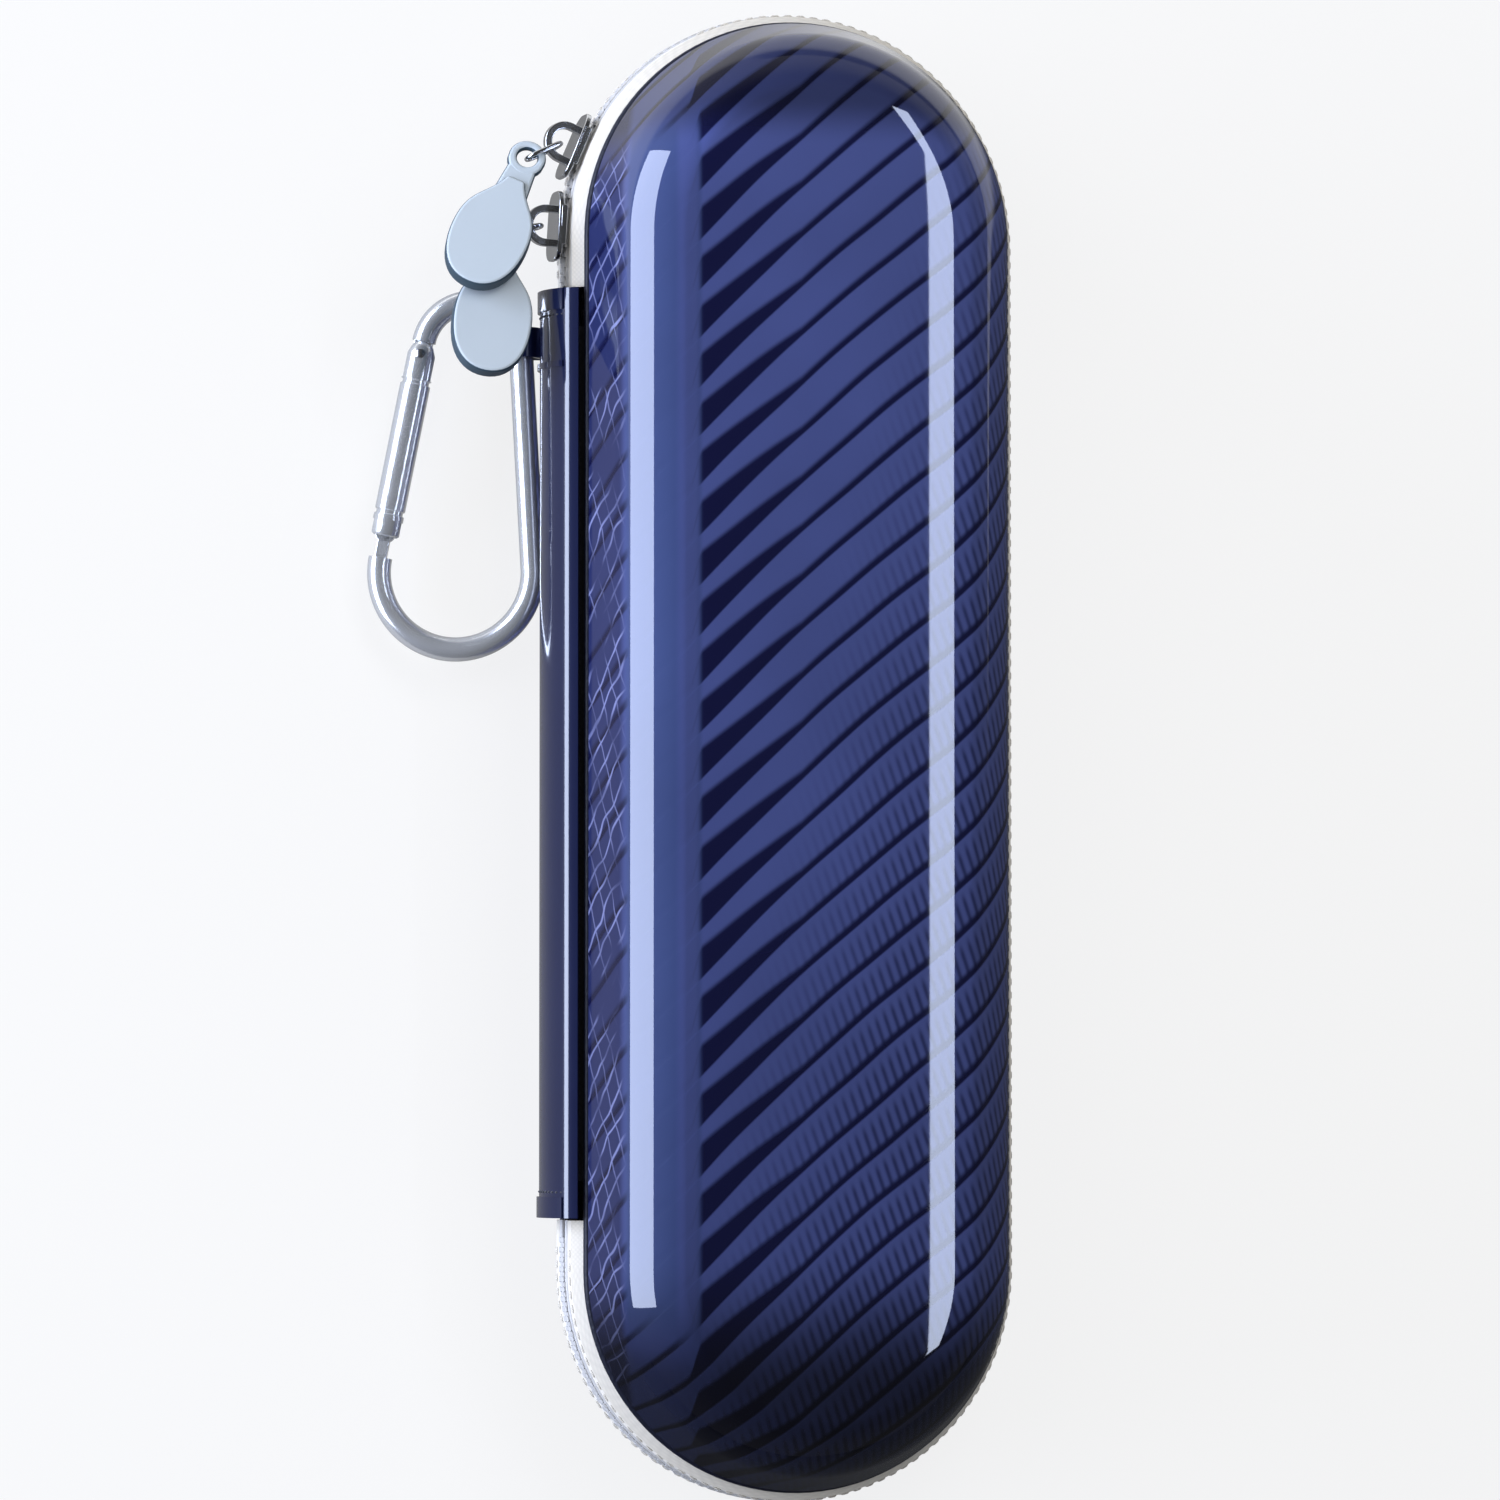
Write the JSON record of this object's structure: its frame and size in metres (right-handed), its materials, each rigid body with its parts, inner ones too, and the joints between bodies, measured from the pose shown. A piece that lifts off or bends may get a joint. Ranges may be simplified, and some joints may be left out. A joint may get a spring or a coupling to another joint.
{
  "type": "electric toothbrush travel case",
  "caption": "Zipped hard-shell clamshell travel case for an electric toothbrush, with a spine hinge, zip sliders with moulded pulls, and a snap hook on a loop.",
  "frame": {"origin": "middle of the flat resting face of the back shell", "axes": "+Z out of the front face, +Y along the case towards the end with the sliders, -X towards the hinge strip"},
  "size_m": [0.1039, 0.2444, 0.05],
  "materials": {
    "twill_shell": "dark blue twill laminate under a clear glossy skin",
    "lining": "matt knitted lining",
    "binding": "dark synthetic leather piping",
    "zip_tape": "pale woven tape",
    "zip_teeth": "moulded nylon teeth",
    "patent": "glossy navy patent sheet",
    "nickel": "bright nickel plate",
    "grip": "satin moulded rubber",
    "hook_aluminium": "bright drawn aluminium",
    "steel": "plain steel",
    "elastic": "woven elastic",
    "net": "knitted net"
  },
  "bodies": {
    "base": {"back_shell": "twill_shell", "back_lining": "lining", "back_rim_binding": "binding", "back_zip_tape": "zip_tape", "back_zip_teeth": "zip_teeth", "hinge_strip": "patent", "inner_hinge_tape": "lining", "hanging_loop": "patent", "lower_handle_strap": "elastic", "upper_handle_strap": "elastic", "brush_head_loop": "elastic"},
    "lid": {"front_shell": "twill_shell", "front_lining": "lining", "front_rim_binding": "binding", "front_zip_tape": "zip_tape", "front_zip_tape_end": "zip_tape", "front_zip_teeth": "zip_teeth", "net_pocket": "net", "pocket_hem": "elastic"},
    "upper_runner": {"upper_slider": "nickel"},
    "lower_runner": {"lower_slider": "nickel"},
    "upper_link": {"upper_pull_link": "nickel"},
    "upper_grip": {"upper_pull_grip": "grip"},
    "lower_link": {"lower_pull_link": "nickel"},
    "lower_grip": {"lower_pull_grip": "grip"},
    "hook": {"carabiner_body": "hook_aluminium", "gate_pin": "steel"},
    "gate": {"carabiner_gate": "hook_aluminium", "gate_spring": "steel"}
  },
  "joints": [
    {"name": "lid_hinge", "type": "hinge", "parent": "base", "child": "lid", "pos_m": [-0.04085, 0, 0.025], "axis": [0, -1, 0], "range_deg": [0, 64], "deforming": ["hinge_strip", "inner_hinge_tape", "front_zip_tape_end"]},
    {"name": "upper_slider_travel", "type": "hinge", "parent": "base", "child": "upper_runner", "pos_m": [0, 0.084, 0.025], "axis": [0, 0, 1], "range_deg": [-157, 0], "deforming": ["front_zip_teeth", "back_zip_teeth"]},
    {"name": "lower_slider_travel", "type": "slide", "parent": "base", "child": "lower_runner", "axis": [0, -1, 0], "range_m": [0, 0.003]},
    {"name": "upper_link_swing", "type": "hinge", "parent": "upper_runner", "child": "upper_link", "pos_m": [-0.03783, 0.10006, 0.025], "axis": [0, 0, -1], "range_deg": [0, 100]},
    {"name": "upper_grip_swing", "type": "hinge", "parent": "upper_link", "child": "upper_grip", "pos_m": [-0.04418, 0.0971, 0.02512], "axis": [0.0432, -0.1334, -0.9901], "range_deg": [-8, 36]},
    {"name": "lower_link_swing", "type": "hinge", "parent": "lower_runner", "child": "lower_link", "pos_m": [-0.04104, 0.0863, 0.025], "axis": [0, 0, -1], "range_deg": [-12, 6]},
    {"name": "lower_grip_swing", "type": "hinge", "parent": "lower_link", "child": "lower_grip", "pos_m": [-0.04791, 0.08502, 0.02476], "axis": [0.0469, -0.0622, -0.997], "range_deg": [-12, 15]},
    {"name": "hook_swing", "type": "hinge", "parent": "base", "child": "hook", "pos_m": [-0.0422, 0, 0.0128], "axis": [0, 1, 0], "range_deg": [-60, 10]},
    {"name": "gate_hinge", "type": "hinge", "parent": "hook", "child": "gate", "pos_m": [-0.05728, 0.06625, 0.00731], "axis": [-0.342, 0, 0.9397], "range_deg": [0, 25], "stiffness_Nm_per_rad": 0.02, "springref_deg": -11.46}
  ]
}
